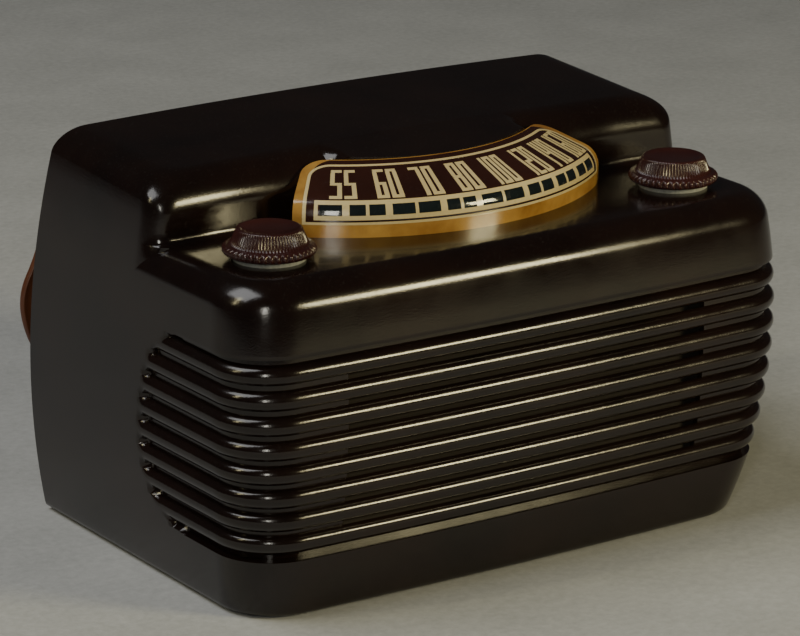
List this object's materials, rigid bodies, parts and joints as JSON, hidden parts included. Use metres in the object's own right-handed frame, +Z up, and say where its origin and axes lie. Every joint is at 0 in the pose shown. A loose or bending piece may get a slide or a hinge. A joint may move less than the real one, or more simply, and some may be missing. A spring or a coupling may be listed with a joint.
{
  "type": "tabletop radio",
  "caption": "Moulded tabletop valve radio with a stepped top, curved lit dial, two top knobs, ribbed sound louvres and a mains lead.",
  "frame": {"origin": "on the table, under the middle of the cabinet", "axes": "+Z up, +X to the right seen from the front, -Y towards the listener"},
  "size_m": [0.254, 0.2785, 0.161],
  "materials": {
    "bakelite": "glossy dark brown moulded phenolic",
    "knob_plastic": "glossy maroon moulded plastic",
    "clear_lens": "clear moulded plastic aged to amber",
    "printed_scale": "printed brown film with cream numerals",
    "grille_fabric": "plain woven grille cloth",
    "felt": "grey wool felt",
    "rubber": "black rubber",
    "fibreboard": "pressed brown fibreboard",
    "steel": "zinc plated steel",
    "brass": "brass",
    "aluminium": "plain aluminium",
    "capacitor_steel": "cadmium plated steel",
    "drum_metal": "spun aluminium",
    "idler_plastic": "moulded nylon",
    "pointer_paint": "pale painted needle",
    "drive_string": "woven dial cord",
    "lamp_glass": "small glass bulb",
    "tube_glass": "clear glass with a dark base",
    "tube_metal": "black painted metal shell",
    "socket_phenolic": "brown phenolic wafer",
    "pot_case": "plated can",
    "coil_form": "wound coil on a paper former",
    "wax_paper": "waxed paper",
    "carbon": "carbon resistor body",
    "cone_paper": "grey paper cone",
    "magnet_paint": "painted magnet pot",
    "core_iron": "varnished iron core",
    "antenna_wire": "cotton covered wire winding",
    "cord_plastic": "brown twin flex",
    "plug_plastic": "brown moulded plug"
  },
  "bodies": {
    "radio": {"amplifier_tube": "tube_metal", "back_cover": "fibreboard", "back_screws": "steel", "baffle_board": "fibreboard", "baffle_screws": "steel", "cabinet": "bakelite", "capacitor_frame": "capacitor_steel", "capacitor_stator": "aluminium", "chassis": "steel", "chassis_bolts": "steel", "chassis_tabs": "steel", "converter_tube": "tube_metal", "detector_tube": "tube_metal", "dial_lamp": "lamp_glass", "dial_lens": "clear_lens", "dial_plate": "steel", "dial_posts": "steel", "dial_scale": "printed_scale", "drive_cord": "drive_string", "feet": "rubber", "filter_capacitor": "aluminium", "first_if_can": "aluminium", "grille_cloth": "grille_fabric", "idler_pins": "steel", "lamp_socket": "brass", "loop_antenna": "antenna_wire", "oscillator_coil": "coil_form", "output_transformer": "core_iron", "output_tube": "tube_glass", "paper_capacitors": "wax_paper", "plug_blades": "brass", "plug_body": "plug_plastic", "pointer_cord": "drive_string", "power_cord": "cord_plastic", "power_cord_coil": "cord_plastic", "rectifier_tube": "tube_glass", "resistors": "carbon", "second_if_can": "aluminium", "speaker_basket": "steel", "speaker_cone": "cone_paper", "speaker_magnet": "magnet_paint", "strain_relief": "rubber", "tube_sockets": "socket_phenolic", "tuning_bracket": "steel", "tuning_bushing": "brass", "tuning_felt": "felt", "volume_bracket": "steel", "volume_bushing": "brass", "volume_control": "pot_case", "volume_felt": "felt"},
    "drum": {"tuning_drum": "drum_metal", "capacitor_rotor": "brass"},
    "tuning_spindle": {"tuning_knob": "knob_plastic", "tuning_shaft": "steel"},
    "volume_spindle": {"volume_knob": "knob_plastic", "volume_shaft": "steel"},
    "pointer_arm": {"pointer": "pointer_paint"},
    "left_wheel": {"left_idler": "idler_plastic"},
    "right_wheel": {"right_idler": "idler_plastic"}
  },
  "joints": [
    {"name": "tuning", "type": "hinge", "parent": "radio", "child": "drum", "pos_m": [0.082, 0.026, 0.1165], "axis": [0, 0, 1], "range_deg": [-100.4, 79.4]},
    {"name": "tuning_knob_turn", "type": "hinge", "parent": "radio", "child": "tuning_spindle", "pos_m": [0.093, -0.044, 0.1315], "axis": [0, 0, 1], "range_deg": [-747, 591]},
    {"name": "volume_knob_turn", "type": "hinge", "parent": "radio", "child": "volume_spindle", "pos_m": [-0.093, -0.044, 0.1315], "axis": [0, 0, 1], "range_deg": [-150, 150]},
    {"name": "pointer_sweep", "type": "hinge", "parent": "radio", "child": "pointer_arm", "pos_m": [0, 0.051, 0.136], "axis": [0, 0, 1], "range_deg": [-43, 34]},
    {"name": "left_idler_turn", "type": "hinge", "parent": "radio", "child": "left_wheel", "pos_m": [-0.04604, 0.01629, 0.136], "axis": [0, 0, 1], "range_deg": [-578, 458]},
    {"name": "right_idler_turn", "type": "hinge", "parent": "radio", "child": "right_wheel", "pos_m": [0.05211, 0.00979, 0.136], "axis": [0, 0, 1], "range_deg": [-458, 578]}
  ],
  "couplings": [
    {"joint": "tuning_knob_turn", "follows": "tuning", "ratio": 7.4327},
    {"joint": "pointer_sweep", "follows": "tuning", "ratio": 0.42778},
    {"joint": "left_idler_turn", "follows": "tuning", "ratio": 5.7511},
    {"joint": "right_idler_turn", "follows": "tuning", "ratio": -5.7511}
  ]
}
